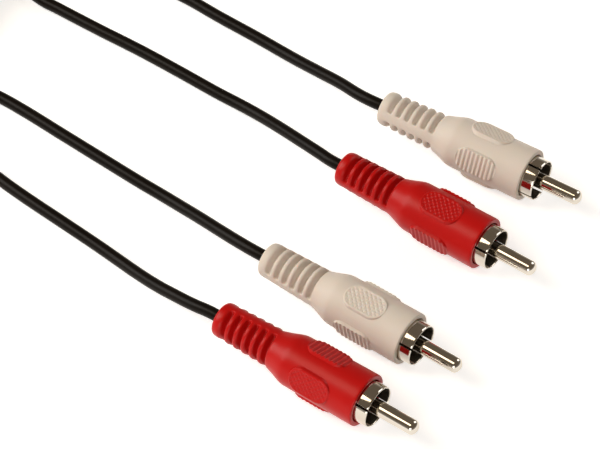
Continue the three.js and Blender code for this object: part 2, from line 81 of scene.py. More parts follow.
# %% Plugs and routes, in millimetres and degrees
WIRE_RADIUS = 1.3
WIRE_IN_BOOT = (8, 3, 0)
PLUGS = {
    "white_a": dict(
        x=-2.31, y=41.27, height=6.1783, heading=33.2, roll=-21, shell_turn=-12, seam_turn=102,
        route=[
            (-4.9, 42.9, 0.99), (-7.5, 45.1, 0.91), (-11.5, 49.5, 0.7), (-15.7, 53.8, 0.44),
            (-20, 58.2, 0.17), (-24.3, 62.2, 0.03), (-28.6, 65.75, 0), (-37.3, 72.35, 0),
            (-46, 79.1, 0), (-53.4, 83.4, 0), (-61.6, 86.7, 0), (-69.8, 90, 0),
            (-76.5, 93.9, 0), (-81.8, 97.6, 0.04), (-86.6, 101.2, 0.23), (-91.6, 104.5, 0.49),
            (-96.8, 107.8, 0.62),
        ],
    ),
    "red_a": dict(
        x=-11.11, y=24.47, height=6.0375, heading=36.2, roll=12, shell_turn=0, seam_turn=68,
        route=[
            (-13.5, 26.2, 0.99), (-15.8, 28.6, 0.91), (-20, 33.2, 0.7), (-24.2, 38, 0.43),
            (-28.4, 42.6, 0.16), (-32.6, 46.3, 0.03), (-36.9, 49.45, 0), (-45.5, 55.95, 0),
            (-54.2, 62.35, 0), (-63.1, 68.45, 0), (-72, 74.75, 0), (-76.6, 78.1, 0),
            (-80.3, 82.6, 0), (-82.9, 88.7, 0), (-85.5, 94.9, 0), (-89.2, 99.8, 0),
            (-93, 103.6, 0), (-97.1, 107.4, 0),
        ],
    ),
    "white_b": dict(
        x=-26.56, y=-0.03, height=6.0375, heading=36.6, roll=12, shell_turn=0, seam_turn=68,
        route=[
            (-28.95, 1.7, 0.99), (-31.8, 4.2, 0.9), (-35.9, 8.3, 0.69), (-40, 12.7, 0.43),
            (-44.2, 17.1, 0.16), (-48.4, 20.95, 0.02), (-52.6, 24.25, 0), (-61.1, 31.05, 0),
            (-69.8, 38.05, 0), (-78.5, 45.05, 0), (-82.9, 48.3, 0), (-87.6, 51.1, 0.03),
            (-92.6, 53.1, 0.19), (-98, 54.3, 0.49), (-103.6, 54.8, 0.81), (-109.4, 54.9, 1.12),
            (-115.4, 55, 1.22),
        ],
    ),
    "red_b": dict(
        x=-35.56, y=-15.58, height=6.1306, heading=36.1, roll=66.5, shell_turn=-57.5, seam_turn=91.5,
        route=[
            (-38, -13.9, 0.99), (-40.8, -12, 0.9), (-44.4, -9, 0.72), (-48.5, -5.3, 0.49),
            (-52.6, -1, 0.23), (-56.7, 3.3, 0.05), (-60.9, 7.2, 0), (-68.6, 13.75, 0),
            (-77.2, 21.05, 0), (-81.5, 24.95, 0), (-85.8, 29.2, 0), (-90.2, 33.9, 0),
            (-94.8, 38.8, 0.04), (-99.7, 43.5, 0.17), (-104.9, 47.3, 0.4), (-110.4, 50.1, 0.72),
            (-116.2, 51.8, 1.05),
        ],
    ),
}


def exit_point(plug, along=0):
    """The wire's exit at the plug's rear, or a point further along the plug's axis"""
    heading = math.radians(plug["heading"])
    x = plug["x"] + along * math.cos(heading)
    y = plug["y"] - along * math.sin(heading)
    return Vector((x, y, plug["height"]))


def lead_points(plug):
    """The wire's way from inside the boot to the coil"""
    inside = [exit_point(plug, along) for along in WIRE_IN_BOOT]
    laid = [
        Vector((x, y, WIRE_RADIUS + share * (plug["height"] - WIRE_RADIUS)))
        for x, y, share in plug["route"]
    ]
    return inside + laid


print("points on the white plug's wire:", len(lead_points(PLUGS["white_a"])))

# %% [markdown]
# ## The coil
# The spare length is wound as such leads are sold. The pair of wires stands with the white
# channel's wire on top, and fills four places inwards and then four places outwards on top of
# them. Each turn keeps its own place and steps over to the next one within a short sector, so
# no two turns share a place. The whole coil rises a little where the tie passes under it.

# %% The way of each wire round the coil
COIL_CENTRE = (-120.9, 86.5)
COIL_MEAN_RADIUS = 27
WIRE_PITCH = 2.9
# The column, counted outwards, and the layer of each turn
PLACES = [(3, 0), (2, 0), (1, 0), (0, 0), (0, 1), (1, 1), (2, 1), (3, 1)]
MIDDLE_COLUMN = 1.5
# Where each step to the next place starts and how long it is, in degrees
STEP_STARTS = [370, 370, 370, 330, 290, 290, 290]
STEP_LENGTHS = [38, 38, 38, 74, 38, 38, 38]
COIL_START = 52
COIL_END = 268 + 7 * 360
COIL_STEP = 12
ROLL_LENGTH = 28
TIE_ANGLE = 140
TIE_LIFT = 0.9
TIE_LIFT_SPREAD = 16


def smooth(t):
    """Ease from 0 to 1"""
    t = min(max(t, 0), 1)
    return t * t * (3 - 2 * t)


def coil_point(colour, angle):
    """A point of one wire, at an angle in degrees counted from the first turn"""
    turn = min(int((angle - COIL_START) // 360), len(PLACES) - 1)
    column, layer = PLACES[turn]
    if turn < len(STEP_STARTS):
        next_column, next_layer = PLACES[turn + 1]
        done = smooth((angle - 360 * turn - STEP_STARTS[turn]) / STEP_LENGTHS[turn])
        column += (next_column - column) * done
        layer += (next_layer - layer) * done
    radius = COIL_MEAN_RADIUS + (column - MIDDLE_COLUMN) * WIRE_PITCH
    height = WIRE_RADIUS + 2 * layer * WIRE_PITCH
    # Near the end the pair rolls over, until the white wire lies on the coil's side of the red one
    roll = math.pi / 2 * smooth((angle - COIL_END + ROLL_LENGTH) / ROLL_LENGTH)
    if colour == "white":
        height += WIRE_PITCH * math.cos(roll)
    else:
        radius += WIRE_PITCH * math.sin(roll)
    from_tie = (angle - TIE_ANGLE + 180) % 360 - 180
    height += TIE_LIFT * math.exp(-((from_tie / TIE_LIFT_SPREAD) ** 2))
    turned = math.radians(angle)
    x = COIL_CENTRE[0] + radius * math.cos(turned)
    y = COIL_CENTRE[1] + radius * math.sin(turned)
    return Vector((x, y, height))


coil_steps = round((COIL_END - COIL_START) / COIL_STEP)
coil_angles = [
    COIL_START + (COIL_END - COIL_START) * i / coil_steps for i in range(coil_steps + 1)
]
print("turns in the coil:", round((COIL_END - COIL_START) / 360, 2))

# %% [markdown]
# ## The wires
# A Bezier curve with automatic handles passes through all its points in smooth bends, and its
# bevel gives it the jacket's thickness. The thickness is written as each point's radius, with a
# bevel depth of 1, because Blender counts that radius in the curve's bounding box. Between the two
# wires of the coil runs a thin web, the strip of vinyl that holds them side by side.

# %% Make the two wires and the web
def wire_curve(name, points, radius, bevel_steps):
    """A round wire through points given in millimetres"""
    curve = bpy.data.curves.new(name, "CURVE")
    curve.dimensions = "3D"
    curve.resolution_u = 6
    curve.bevel_depth = 1
    curve.bevel_resolution = bevel_steps
    curve.use_fill_caps = True
    spline = curve.splines.new("BEZIER")
    spline.bezier_points.add(len(points) - 1)
    for bezier_point, point in zip(spline.bezier_points, points):
        bezier_point.co = point * MM
        bezier_point.radius = radius * MM
        bezier_point.handle_left_type = "AUTO"
        bezier_point.handle_right_type = "AUTO"
    wire = bpy.data.objects.new(name, curve)
    bpy.context.collection.objects.link(wire)
    return wire


def wire_points(colour):
    """The whole way of one channel's wire, from plug to plug"""
    coiled = [coil_point(colour, angle) for angle in coil_angles]
    near_end = lead_points(PLUGS[colour + "_b"])
    return lead_points(PLUGS[colour + "_a"]) + coiled + near_end[::-1]


wires = {}
for colour in ("white", "red"):
    wires[colour] = wire_curve(colour + "_channel_wire", wire_points(colour), WIRE_RADIUS, 6)
    length = sum(spline.calc_length() for spline in wires[colour].data.splines)
    print(colour, "wire is", round(length, 3), "m long")

WEB_RADIUS = 0.45
web_points = [
    (coil_point("white", angle) + coil_point("red", angle)) / 2 for angle in coil_angles[1:-1]
]
web = wire_curve("twin_web", web_points, WEB_RADIUS, 2)

# %% Attach the wires and the web to the body, and hide the CAD wires and coil
for colour, wire in wires.items():
    ends = (colour + "_a", colour + "_b")
    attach(wire, "root")
    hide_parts(*[end + part for end in ends for part in ("_wire", "_jacket")], "coil")
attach(web, "root")
print("cords declared:", len(wires))

# %% [markdown]
# ## Tools for turned pieces
# Most of a phono plug is turned or moulded round one axis. Such a piece starts as one vertex,
# which is extruded along a profile and then spun round the X axis. Merging the doubled vertices
# closes the seam and the poles, and only then can the normals be made to point outwards.

# %% Select, clean up and spin
MERGE_DISTANCE = 1e-4


def deselect():
    if bpy.context.object and bpy.context.object.mode != "OBJECT":
        bpy.ops.object.mode_set(mode="OBJECT")
    bpy.ops.object.select_all(action="DESELECT")


def activate(piece):
    """Select one piece alone and make it the active one"""
    deselect()
    bpy.context.view_layer.objects.active = piece
    piece.select_set(True)


def clean_up(piece):
    """Merge doubled vertices and turn the faces outwards"""
    activate(piece)
    bpy.ops.object.mode_set(mode="EDIT")
    bpy.ops.mesh.select_all(action="SELECT")
    bpy.ops.mesh.remove_doubles(threshold=MERGE_DISTANCE)
    bpy.ops.mesh.normals_make_consistent(inside=False)
    bpy.ops.object.mode_set(mode="OBJECT")


def turned_piece(name, profile, steps):
    """Spin a profile of (x, radius) points round the X axis"""
    deselect()
    bpy.ops.mesh.primitive_plane_add(size=1)
    piece = bpy.context.object
    piece.name = name
    bpy.ops.object.mode_set(mode="EDIT")
    bpy.ops.mesh.select_mode(type="VERT")
    bpy.ops.mesh.select_all(action="SELECT")
    bpy.ops.mesh.merge(type="CENTER")
    first_x, first_radius = profile[0]
    bpy.ops.transform.translate(value=(first_x, 0, first_radius))
    for (x0, radius0), (x1, radius1) in zip(profile, profile[1:]):
        bpy.ops.mesh.extrude_region_move(
            TRANSFORM_OT_translate={"value": (x1 - x0, 0, radius1 - radius0)}
        )
    bpy.ops.mesh.select_all(action="SELECT")
    bpy.ops.mesh.spin(steps=steps, angle=2 * math.pi, center=(0, 0, 0), axis=(1, 0, 0))
    bpy.ops.object.mode_set(mode="OBJECT")
    clean_up(piece)
    return piece


print("vertices merge within, in millimetres:", MERGE_DISTANCE)

# %% [markdown]
# ## The boot
# The grip is one vinyl moulding: a slotted strain relief that bends with the wire, a cone, and
# a body with four pads. Its outside and its hollow inside are one profile. The slots are faces of
# the tail, picked by their place and pushed inwards, less deep towards a slot's ends. A Subdivision
# Surface then rounds every edge, as on soft vinyl, and stays crisp where two rings of the profile
# lie close together.

# %% The boot's sizes and profile
BOOT_LENGTH = 35.2
TAIL_LENGTH = 13.7
CONE_END = 17.9
TAIL_RADII = (3.68, 4.07)
BODY_RADII = (5.46, 5.63)
SLOTS = 6
SLOT_PITCH = 2.03
FIRST_SLOT = 2.9
SLOT_WIDTH = 0.9
SLOT_DEPTH = 1.6
SLOT_HALF_ANGLE = 72
SLOT_FLOOR_END = SLOT_HALF_ANGLE + 4
SLOT_FLOOR_RISE = 0.6
BORE_RADIUS = 1.4
CHAMBER_RADIUS = 4.0
CHAMBER_START = 17.0
RECESS_RADIUS = 4.62
RECESS_START = 28.9


def between(x, x0, x1, value0, value1):
    return value0 + (value1 - value0) * (x - x0) / (x1 - x0)


def tail_radius(x):
    return between(x, 0, TAIL_LENGTH, *TAIL_RADII)


def body_radius(x):
    return between(x, CONE_END, BOOT_LENGTH, *BODY_RADII)


profile = [(0, BORE_RADIUS), (0, 2.2), (0, TAIL_RADII[0] - 0.75), (0.25, TAIL_RADII[0] - 0.12)]
profile.append((1.1, tail_radius(1.1)))
for i in range(SLOTS):
    middle = FIRST_SLOT + i * SLOT_PITCH
    for x in (middle - SLOT_WIDTH / 2, middle + SLOT_WIDTH / 2, middle + SLOT_PITCH / 2):
        profile.append((x, tail_radius(x)))
profile[-1] = (TAIL_LENGTH + 0.4, tail_radius(TAIL_LENGTH) + 0.08)
profile += [(15.4, 4.56), (16.8, 5.07), (17.9, 5.42), (18.8, body_radius(18.8))]
profile.append((20.5, body_radius(20.5)))
profile += [(x, body_radius(x)) for x in (24, 28, 32, 34.3)]
profile += [(35.02, 5.61), (35.16, 5.53), (BOOT_LENGTH, 5.4), (BOOT_LENGTH, RECESS_RADIUS + 0.1)]
profile += [(BOOT_LENGTH - 0.1, RECESS_RADIUS), (34.4, RECESS_RADIUS)]
profile += [(RECESS_START + 0.2, RECESS_RADIUS), (RECESS_START, RECESS_RADIUS - 0.1)]
profile += [(RECESS_START, CHAMBER_RADIUS), (CHAMBER_START + 0.2, CHAMBER_RADIUS)]
profile += [(CHAMBER_START, CHAMBER_RADIUS - 0.2), (CHAMBER_START, BORE_RADIUS + 0.2)]
profile += [(CHAMBER_START - 0.2, BORE_RADIUS), (1, BORE_RADIUS), (0, BORE_RADIUS)]

boot = turned_piece("boot", profile, 40)
print("rings in the boot's profile:", len(profile) - 1)

# %% Push the slots in
SLOT_TOLERANCE = 0.1
TAIL_OUTSIDE = 3  # faces nearer to the axis belong to the bore


def apply_modifier(piece, kind, **settings):
    activate(piece)
    modifier = piece.modifiers.new(kind.title(), kind)
    for key, value in settings.items():
        setattr(modifier, key, value)
    bpy.ops.object.modifier_apply(modifier=modifier.name)


activate(boot)
bpy.ops.object.mode_set(mode="EDIT")
bpy.ops.mesh.select_mode(type="FACE")
bpy.ops.mesh.select_all(action="DESELECT")
bpy.ops.object.mode_set(mode="OBJECT")
chosen = 0
for face in boot.data.polygons:
    centre = face.center
    slot = round((centre.x - FIRST_SLOT) / SLOT_PITCH)
    off_slot = abs(centre.x - FIRST_SLOT - slot * SLOT_PITCH)
    radius = math.hypot(centre.y, centre.z)
    angle = math.degrees(math.atan2(abs(centre.y), abs(centre.z)))
    in_slot = 0 <= slot < SLOTS and off_slot < SLOT_TOLERANCE and angle < SLOT_HALF_ANGLE
    face.select = in_slot and radius > TAIL_OUTSIDE
    chosen += face.select
bpy.ops.object.mode_set(mode="EDIT")
bpy.ops.mesh.extrude_region_shrink_fatten(TRANSFORM_OT_shrink_fatten={"value": -SLOT_DEPTH})
bpy.ops.object.mode_set(mode="OBJECT")
for vertex in (v for v in boot.data.vertices if v.select):
    x, y, z = vertex.co
    share = min(math.degrees(math.atan2(abs(y), abs(z))) / SLOT_FLOOR_END, 1)
    raised = SLOT_DEPTH * (1 - math.sqrt(1 - share * share)) * SLOT_FLOOR_RISE
    grown = 1 + raised / math.hypot(y, z)
    vertex.co = (x, y * grown, z * grown)
apply_modifier(boot, "SUBSURF", levels=2, render_levels=2)
print("slot faces pushed in:", chosen)

# %% [markdown]
# ## The grip pads
# The pads are flat lands on the round body, so their long edges stand out and their ends run
# almost level into it. Two have a rim and fine diamonds, and two have ribs across the plug. Each
# is a fine grid whose every vertex is set to the land's height at that point. Outside the outline
# it dips under the body, so the outline is a smooth line. Extruding the grid downwards closes it,
# and a union makes it part of the boot. A seat is cut into the body first, because the round body
# would fill the grooves along the pad's middle.

# %% The pads' reliefs
PAD_CENTRE = 25.0
PAD_RISE = 0.1
PAD_TOP = body_radius(PAD_CENTRE) + PAD_RISE
LAND_WALL = 1.0
LAND_SLOPE = 0.22
EDGE_DROP = 0.07
EDGE_WIDTH = 0.2
OVAL_SIZE = (9.4, 5.2)
OVAL_BORDER = 0.34
OVAL_SLOPE = 0.14
DIAMOND_DENSITY = 0.9
DIAMOND_SLOPE = 0.9
DIAMOND_DEPTH = 0.13
RIBBED_SIZE = (9.7, 4.9)
RIB_PITCH = 0.97
RIB_DEPTH = 0.2
RIB_BLUNTNESS = 0.8
RIB_OVERRUN = 0.12
RIB_SLOPE = 0.2


def inside_oval(x, y, length, width):
    """How far a point is inside an outline with straight sides and round ends"""
    past_straight = max(abs(x) - (length - width) / 2, 0)
    return width / 2 - math.hypot(past_straight, y)


def land(depth):
    """The rounded edge of a land, and the wall below it"""
    wall = LAND_WALL * (1 - smooth((depth + LAND_SLOPE) / LAND_SLOPE))
    edge = EDGE_DROP * (1 - smooth(depth / EDGE_WIDTH))
    return -wall - edge


def oval_relief(x, y):
    """Fine diamonds inside a plain rim"""
    depth = inside_oval(x, y, *OVAL_SIZE)
    inner = smooth((depth - OVAL_BORDER) / OVAL_SLOPE)
    along = math.pi * DIAMOND_DENSITY * (x + y)
    across = math.pi * DIAMOND_DENSITY * (x - y)
    diamonds = smooth(min(abs(math.sin(along)), abs(math.sin(across))) / DIAMOND_SLOPE)
    return land(depth) + inner * (-DIAMOND_DEPTH + DIAMOND_DEPTH * diamonds)


def ribbed_relief(x, y):
    """Ribs across the plug that run out through the edge"""
    depth = inside_oval(x, y, *RIBBED_SIZE)
    inner = smooth((depth + RIB_OVERRUN) / RIB_SLOPE)
    ribs = 0.5 + 0.5 * math.cos(2 * math.pi * x / RIB_PITCH)
    return land(depth) - RIB_DEPTH * inner * (1 - ribs**RIB_BLUNTNESS)


print("height of a diamond and of a rib:", DIAMOND_DEPTH, RIB_DEPTH)

# %% [markdown]
# ## Cut, join, shade and copy
# A Boolean modifier cuts one closed piece out of another or joins the two. It is applied at once,
# so that the next step finds plain faces, and the tool is removed. Shading by angle then keeps
# the sharp edges of the real piece and smooths the rest.

# %% Tools for cutting, shading and copying
def combine(piece, tool, operation):
    """Cut a tool out of a piece or join the two. The tool is used up."""
    apply_modifier(piece, "BOOLEAN", operation=operation, object=tool, solver="EXACT")
    bpy.data.objects.remove(tool, do_unlink=True)


def smooth_faces(piece, sharpest=35):
    """Shade a piece smoothly, apart from edges sharper than an angle in degrees"""
    activate(piece)
    bpy.ops.object.shade_smooth_by_angle(angle=math.radians(sharpest))


def copy_of(piece, name, turn):
    """A copy with its own mesh, turned round the X axis by an angle in degrees"""
    copy = bpy.data.objects.new(name, piece.data.copy())
    copy.data.transform(Matrix.Rotation(math.radians(turn), 4, "X"))
    bpy.context.collection.objects.link(copy)
    return copy


print("faces in the boot before its pads:", len(boot.data.polygons))

# %% Raise the pads
RELIEF_CELL = 0.1
RELIEF_MARGIN = 0.3
PAD_BOTTOM = 4.35
SEAT_MARGIN = 0.15
SEAT_DEPTH = 0.5
SEAT_HEIGHT = 2
CLEAR_START = RECESS_START - 0.4
CLEAR_END = 32
CLEAR_RADIUS = 4.8


def raise_pad(name, relief, size):
    """A closed piece with a relief on top and a flat bottom"""
    across_x, across_y = (extent + 2 * RELIEF_MARGIN for extent in size)
    deselect()
    columns = round(across_x / RELIEF_CELL)
    rows = round(across_y / RELIEF_CELL)
    bpy.ops.mesh.primitive_grid_add(x_subdivisions=columns, y_subdivisions=rows, size=1)
    pad = bpy.context.object
    pad.name = name
    for vertex in pad.data.vertices:
        x = vertex.co.x * across_x
        y = vertex.co.y * across_y
        vertex.co = (PAD_CENTRE + x, y, PAD_TOP + relief(x, y))
    bpy.ops.object.mode_set(mode="EDIT")
    bpy.ops.mesh.select_all(action="SELECT")
    bpy.ops.mesh.extrude_region_move(TRANSFORM_OT_translate={"value": (0, 0, -1)})
    bpy.ops.transform.resize(value=(1, 1, 0), center_override=(0, 0, PAD_BOTTOM))
    bpy.ops.object.mode_set(mode="OBJECT")
    clean_up(pad)
    # The pad's root stays clear of the recess that holds the shell
    clearance = [
        (CLEAR_START, 0), (CLEAR_START, CLEAR_RADIUS), (CLEAR_END, CLEAR_RADIUS), (CLEAR_END, 0)
    ]
    combine(pad, turned_piece("clearance", clearance, 48), "DIFFERENCE")
    return pad


def make_seat(length, width):
    """The block of the body that a pad takes the place of, a cylinder stretched to an oval"""
    deselect()
    radius = width / 2 - SEAT_MARGIN
    bpy.ops.mesh.primitive_cylinder_add(vertices=48, radius=radius, depth=SEAT_HEIGHT)
    seat = bpy.context.object
    for vertex in seat.data.vertices:
        x, y, z = vertex.co
        stretch = math.copysign((length - width) / 2, x) if abs(x) > MERGE_DISTANCE else 0
        vertex.co = (PAD_CENTRE + x + stretch, y, PAD_TOP - SEAT_DEPTH + SEAT_HEIGHT / 2 + z)
    return seat


for relief, size, first_turn in (
    (oval_relief, OVAL_SIZE, 0),
    (ribbed_relief, RIBBED_SIZE, 90),
):
    pad = raise_pad("pad", relief, size)
    seat = make_seat(*size)
    for turn in (first_turn, first_turn + 180):
        combine(boot, copy_of(seat, "seat", turn), "DIFFERENCE")
        combine(boot, copy_of(pad, "raised", turn), "UNION")
    bpy.data.objects.remove(pad, do_unlink=True)
    bpy.data.objects.remove(seat, do_unlink=True)
smooth_faces(boot, 40)
print("faces in the boot:", len(boot.data.polygons))

# %% [markdown]
# ## The ground shell
# The shell is rolled from thin plated sheet. Four slits let its petals spring over the socket,
# and a lug at its rear takes the shield. The lip is rounded in the profile, and a bevel takes the
# sharpness off the slits' edges, because every real edge catches a line of light. The vertices of
# the bore are flagged, so that the plating can be duller inside and painted darker there, as
# painted shade in the bore.

# %% Make the shell
SHELL_RADIUS = 4.4
SHELL_WALL = 0.35
SHELL_REAR = 29.2
SHELL_FRONT = 37.9
FLANGE_BORE = 2.9
FLANGE_FRONT = SHELL_REAR + 0.5
SLITS = 4
SLIT_TURN = 45
SLIT_WIDTH = 0.5
SLIT_LENGTH = 5.0
LIP_LENGTH = 0.2
BORE_TOLERANCE = 0.02
LUG_SIZE = (7.95, 2.4, 0.35)
LUG_CENTRE = (25.475, 0, 3.275)

shell_bore = SHELL_RADIUS - SHELL_WALL
shell = turned_piece(
    "shell",
    [
        (SHELL_REAR, FLANGE_BORE), (SHELL_REAR, 4.2), (SHELL_REAR + 0.15, 4.35),
        (SHELL_REAR + 0.5, SHELL_RADIUS), (SHELL_FRONT - 0.35, SHELL_RADIUS),
        (SHELL_FRONT - 0.12, 4.36), (SHELL_FRONT - 0.02, 4.28), (SHELL_FRONT, 4.2),
        (SHELL_FRONT - 0.04, 4.12), (SHELL_FRONT - 0.15, shell_bore + 0.01),
        (SHELL_FRONT - 0.4, shell_bore), (FLANGE_FRONT, shell_bore),
        (FLANGE_FRONT, FLANGE_BORE), (SHELL_REAR, FLANGE_BORE),
    ],
    96,
)


def block(name, size, centre):
    """A box of a given size round a given point"""
    deselect()
    bpy.ops.mesh.primitive_cube_add(size=1, location=centre, scale=size)
    bpy.ops.object.transform_apply(location=True, rotation=False, scale=True)
    bpy.context.object.name = name
    return bpy.context.object


slit_size = (SLIT_LENGTH + 1, SLIT_WIDTH, 2)
for i in range(SLITS):
    slit = block("slit", slit_size, (SHELL_FRONT + 1 - slit_size[0] / 2, 0, SHELL_RADIUS))
    slit.data.transform(Matrix.Rotation(math.radians(SLIT_TURN + 360 / SLITS * i), 4, "X"))
    combine(shell, slit, "DIFFERENCE")
combine(shell, block("lug", LUG_SIZE, LUG_CENTRE), "UNION")
apply_modifier(shell, "BEVEL", width=0.05, segments=2, limit_method="ANGLE")
smooth_faces(shell)
# The bore's vertices get the value 1: there the plating is painted darker, as painted shade.
painted_shade_marks = shell.data.attributes.new("inside", "FLOAT", "POINT")
for vertex, painted_shade_mark in zip(shell.data.vertices, painted_shade_marks.data):
    x, y, z = vertex.co
    in_bore = math.hypot(y, z) < shell_bore + BORE_TOLERANCE
    painted_shade_mark.value = x < SHELL_FRONT - LIP_LENGTH and in_bore
print("faces in the shell:", len(shell.data.polygons))

# %% [markdown]
# ## The centre pin and the insulator
# The pin is a tube rolled from sheet, which shows as a fine seam along its side, with a nose
# that is domed so that it finds its hole. Behind the insulator it has a bead that keeps it in
# place and a cup for the solder.

# %% Make the pin
PIN_RADIUS = 1.6
PIN_TIP = 47.2
PIN_NOSE = 1.2
PIN_SHOULDER = 32.3
NOSE_STEPS = 12
SHANK_RADIUS = 1.1
BEAD_REAR = 27.4
BEAD_FRONT = 28.1
BEAD_RADIUS = 1.7
CUP_REAR = 24.1
CUP_FLOOR = 26.3
CUP_BORE = 0.6
SEAM_START = 33.8
SEAM_END = 44.0
SEAM_WIDTH = 0.4
SEAM_DEPTH = 0.35

nose = []
for i in range(NOSE_STEPS + 1):
    angle = math.pi / 2 * i / NOSE_STEPS
    nose.append((PIN_TIP - PIN_NOSE * (1 - math.sin(angle)), PIN_RADIUS * math.cos(angle)))
nose[-1] = (PIN_TIP, 0)
pin = turned_piece(
    "pin",
    [
        (CUP_FLOOR, 0), (CUP_FLOOR, CUP_BORE), (CUP_REAR, CUP_BORE), (CUP_REAR, SHANK_RADIUS),
        (BEAD_REAR, SHANK_RADIUS), (BEAD_REAR, BEAD_RADIUS), (BEAD_FRONT, BEAD_RADIUS),
        (BEAD_FRONT, SHANK_RADIUS), (PIN_SHOULDER, SHANK_RADIUS), (PIN_SHOULDER, PIN_RADIUS),
    ]
    + nose,
    64,
)
seam = block(
    "seam",
    (SEAM_END - SEAM_START, SEAM_WIDTH, 1),
    ((SEAM_START + SEAM_END) / 2, 0, PIN_RADIUS - SEAM_DEPTH + 0.5),
)
apply_modifier(seam, "BEVEL", width=0.19, segments=3, limit_method="ANGLE", affect="EDGES")
combine(pin, seam, "DIFFERENCE")
smooth_faces(pin)
print("faces in the pin:", len(pin.data.polygons))

# %% Make the insulator
COLLAR_REAR = 28.4
PIN_HOLE = 1.4

insulator = turned_piece(
    "insulator",
    [
        (COLLAR_REAR, PIN_HOLE), (COLLAR_REAR, 2.5), (28.5, 2.6), (30.0, 2.6), (30.0, 3.65),
        (30.1, 3.75), (31.85, 3.75), (32.0, 3.6), (32.0, 2.9), (31.7, 2.7), (31.7, 1.9),
        (31.85, 1.75), (31.85, PIN_HOLE), (COLLAR_REAR, PIN_HOLE),
    ],
    64,
)
smooth_faces(insulator)
print("faces in the insulator:", len(insulator.data.polygons))

# %% [markdown]
# ## Put the plugs down
# All four plugs are alike, so each piece is copied four times. A copy's mesh is rolled, turned,
# moved and brought from millimetres to metres, and its object stays at the origin, as a CAD
# node's does.

# %% Copy the pieces to their places
PARTS = [
    # piece, name, key of its turn in the boot, slot (a boot's slot has its colour in the name)
    (boot, "boot", None, None),
    (shell, "shell", "shell_turn", "plating"),
    (insulator, "insulator", None, "insulator"),
    (pin, "pin", "seam_turn", "plating"),
]


def plug_matrix(plug):
    """Roll, turn and put down a plug, and bring it to metres"""
    put_down = Matrix.Translation(exit_point(plug) * MM)
    turn = Matrix.Rotation(-math.radians(plug["heading"]), 4, "Z")
    roll = Matrix.Rotation(math.radians(plug["roll"]), 4, "X")
    return put_down @ turn @ roll @ Matrix.Scale(MM, 4)


placed = {}
for plug_name, plug in PLUGS.items():
    for piece, part_name, turn_key, slot_name in PARTS:
        node = f"{plug_name}_{part_name}"
        copy = copy_of(piece, node + "_shape", plug[turn_key] if turn_key else 0)
        copy.data.transform(plug_matrix(plug))
        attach(copy, "root")
        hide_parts(node)
        placed[node] = copy
for piece, *_ in PARTS:
    bpy.data.objects.remove(piece, do_unlink=True)
print("pieces put down:", len(placed))

# %% [markdown]
# ## The tie
# A plain plastic strip holds the coil together. It is a band with round corners that goes once
# round the bundle, with its free end on the ground. A bar with round edges is cut out of a
# larger one, which leaves the band, and the free end is joined on.

# %% Make the tie
COIL_THICKNESS = 3 * WIRE_PITCH + 2 * WIRE_RADIUS
TIE_GAP = 0.3
TIE_THICKNESS = 0.6
TIE_WIDTH = 4.0
TIE_TAIL = 8.0


def rounded_bar(name, width, length, corner):
    """A square bar along the Y axis whose long edges are round"""
    bar = block(name, (width, length, width), (0, 0, 0))
    activate(bar)
    bpy.ops.object.mode_set(mode="EDIT")
    bpy.ops.mesh.select_mode(type="EDGE")
    bpy.ops.mesh.select_all(action="DESELECT")
    bpy.ops.object.mode_set(mode="OBJECT")
    for edge in bar.data.edges:
        a, b = (bar.data.vertices[i].co for i in edge.vertices)
        edge.select = abs(a.y - b.y) > 1
    bpy.ops.object.mode_set(mode="EDIT")
    bpy.ops.mesh.bevel(offset=corner, segments=6)
    bpy.ops.object.mode_set(mode="OBJECT")
    return bar


inner_corner = WIRE_RADIUS + TIE_GAP
tie_outside = COIL_THICKNESS + 2 * (TIE_GAP + TIE_THICKNESS)
tie_inside = tie_outside - 2 * TIE_THICKNESS
tie = rounded_bar("tie_strip", tie_outside, TIE_WIDTH, inner_corner + TIE_THICKNESS)
hole = rounded_bar("hole", tie_inside, TIE_WIDTH + 2, inner_corner)
combine(tie, hole, "DIFFERENCE")
tail_length = tie_outside / 4 + TIE_TAIL
tail_centre = tie_outside / 2 + TIE_TAIL - tail_length / 2
tail = block(
    "tail",
    (tail_length, TIE_WIDTH, TIE_THICKNESS),
    (tail_centre, 0, (TIE_THICKNESS - tie_outside) / 2),
)
combine(tie, tail, "UNION")
apply_modifier(tie, "BEVEL", width=0.12, segments=2, limit_method="ANGLE")
smooth_faces(tie, 40)

bundle = Vector((COIL_MEAN_RADIUS, 0, tie_outside / 2))
around = Matrix.Translation(Vector((*COIL_CENTRE, 0)) * MM)
turn_to = Matrix.Rotation(math.radians(TIE_ANGLE), 4, "Z")
tie.data.transform(around @ turn_to @ Matrix.Scale(MM, 4) @ Matrix.Translation(bundle))
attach(tie, "root")
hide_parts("tie")
print("faces in the tie:", len(tie.data.polygons))

# %% [markdown]
# ## A way to write shader maths
# A material is a graph of nodes. A small class wraps one output, so that sums and products are
# written as plain expressions and add their own Math nodes. One method makes any other node.

# %% The shader helpers
class Signal:
    """One output of a node, in the graph of a finish"""

    def __init__(self, finish, socket):
        self.finish = finish
        self.socket = socket

    def math(self, operation, first, second):
        return self.finish.node("ShaderNodeMath", {"operation": operation}, {0: first, 1: second})

    def __add__(self, other):
        return self.math("ADD", self, other)

    def __radd__(self, other):
        return self.math("ADD", other, self)

    def __sub__(self, other):
        return self.math("SUBTRACT", self, other)

    def __mul__(self, other):
        return self.math("MULTIPLY", self, other)

    def __rmul__(self, other):
        return self.math("MULTIPLY", other, self)


